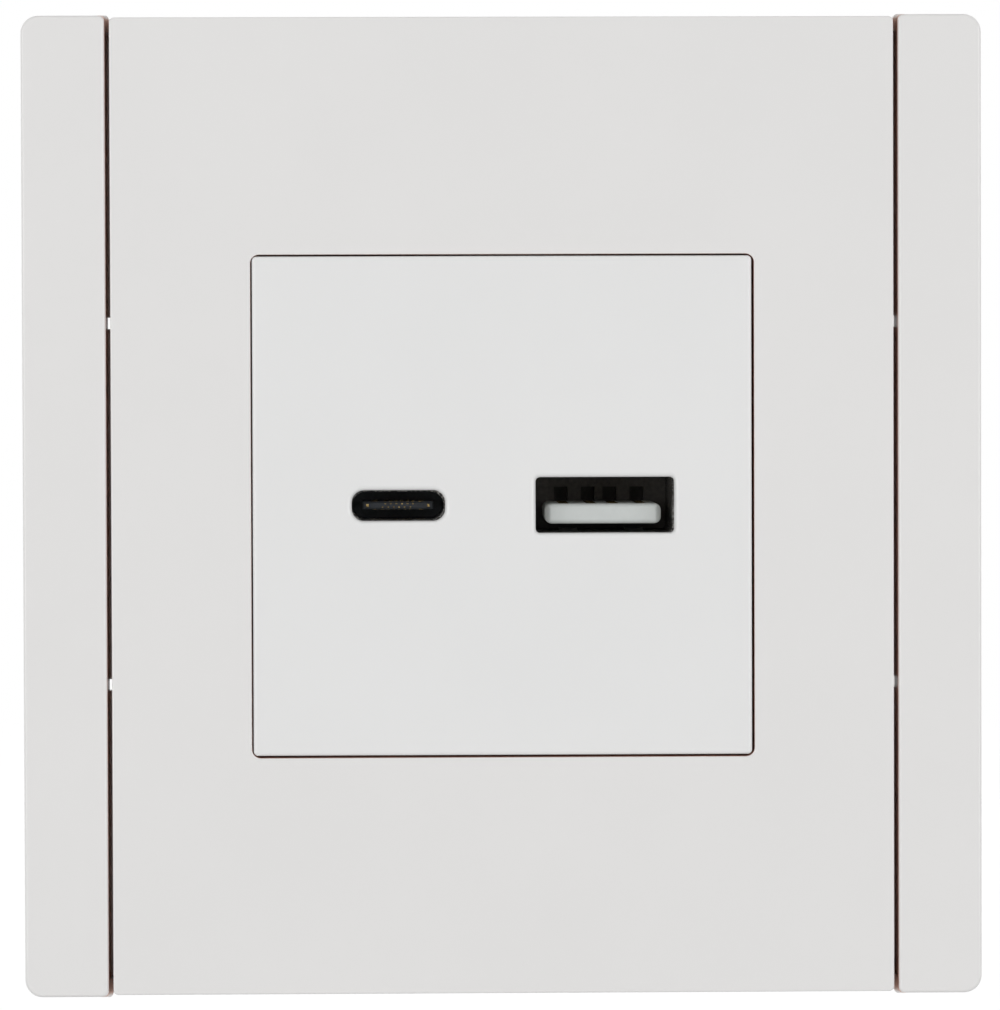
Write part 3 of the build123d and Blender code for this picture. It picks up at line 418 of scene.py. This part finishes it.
def terminal_mark(letter, screw):
    """A raised letter on the panel above a terminal's screw hole, read from behind."""
    low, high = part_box(screw)
    middle = (low + high) / 2
    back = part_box("rear_housing")[1].y
    place = Vector((middle.x, back - MARK_PANEL_DEPTH + MARK_RELIEF / 2, middle.z + MARK_RISE))
    facing_back = Matrix(((-1, 0, 0), (0, 0, 1), (0, 1, 0))).to_4x4()
    mesh = letter_mesh(letter)
    mesh.transform(Matrix.Translation(place) @ facing_back)
    mesh.materials.clear()
    mesh.materials.append(materials["housing_plastic"])
    mark = add_object(screw.split("_")[0] + "_mark", mesh)
    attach(mark, "socket_body")


terminal_mark("L", "line_screw")
terminal_mark("N", "neutral_screw")


# Stage


def seen_white(tree):
    """1 for rays that should meet the white background, 0 for rays that light the object."""
    path = node(tree, "LightPath", {})
    seen = path.outputs["Is Camera Ray"]
    for ray in ("Is Glossy Ray", "Is Transmission Ray"):
        seen = either(tree, seen, path.outputs[ray])
    return seen


def build_world():
    """Surroundings that are white where they are seen, and light the object softly."""
    world = bpy.data.worlds.new("studio")
    world.use_nodes = True
    tree = world.node_tree
    level = between(tree, seen_white(tree), WORLD_LEVEL, 1.0, FULL_SPAN)
    feed(tree, tree.nodes["Background"], {"Color": (*WHITE, 1.0), "Strength": level})
    bpy.context.scene.world = world


def floor_material():
    """Pale and mottled, clear from below and to the lamps, and thinning out with distance."""
    material, tree, shader, place = start_material("floor")
    below = node(tree, "NewGeometry", {}).outputs["Backfacing"]
    lit = node(tree, "LightPath", {}).outputs["Is Shadow Ray"]
    distance = node(tree, "VectorMath", {0: place}, operation="LENGTH").outputs["Value"]
    faded = between(tree, distance, 0.0, 1.0, FLOOR_FADE)
    clear = either(tree, either(tree, below, lit), faded)
    sockets = {
        "Base Color": mottled(tree, noise(tree, place, FLOOR_CLOUD), FLOOR_GREY, FLOOR_TONES),
        "Roughness": FLOOR_ROUGHNESS,
        "Emission Color": (*WHITE, 1.0),
        "Emission Strength": between(tree, seen_white(tree), 0.0, FLOOR_GLOW, FULL_SPAN),
        "Alpha": between(tree, clear, 1.0, 0.0, FULL_SPAN),
    }
    feed(tree, shader, sockets)
    return material


def build_floor():
    """A round floor below the object, white where no shadow falls."""
    level = cad_box[0][2] - FLOOR_DROP
    turns = [2 * math.pi * corner / FLOOR_CORNERS for corner in range(FLOOR_CORNERS)]
    rim = [(FLOOR_RADIUS * math.cos(turn), FLOOR_RADIUS * math.sin(turn), level) for turn in turns]
    mesh = bpy.data.meshes.new("floor")
    mesh.from_pydata(rim, [], [range(FLOOR_CORNERS)])
    mesh.materials.append(floor_material())
    floor = add_object("floor", mesh)


def soft_light(name, place, size, power, mirrored):
    """A square lamp that looks at the origin; glossy faces show it only if it is mirrored."""
    light = bpy.data.lights.new(name, "AREA")
    light.shape = "SQUARE"
    light.size = size
    light.energy = power
    lamp = add_object(name, light)
    lamp.location = place
    lamp.rotation_euler = (-Vector(place)).to_track_quat("-Z", "Y").to_euler()
    lamp.visible_glossy = mirrored


def build_camera():
    """The camera of the photograph, turned by its fitted pan, roll and tilt."""
    turn = (
        Matrix.Rotation(CAMERA_TILT, 3, "X")
        @ Matrix.Rotation(CAMERA_ROLL, 3, "Y")
        @ Matrix.Rotation(CAMERA_PAN, 3, "Z")
    )
    right, forward, up = turn
    camera = bpy.data.cameras.new("camera")
    camera.sensor_fit = "VERTICAL"
    camera.sensor_height = SENSOR_HEIGHT
    camera.lens = FOCAL_PIXELS * SENSOR_HEIGHT / IMAGE_HEIGHT
    camera.clip_start, camera.clip_end = CAMERA_REACH
    eye = add_object("camera", camera)
    axes = Matrix((right, up, -forward)).transposed().to_4x4()
    eye.matrix_world = Matrix.Translation(CAMERA_PLACE) @ axes
    bpy.context.scene.camera = eye


build_world()
build_floor()
for name, values in LAMPS.items():
    soft_light(name, **values)
build_camera()

bpy.context.scene.view_settings.view_transform = "Standard"
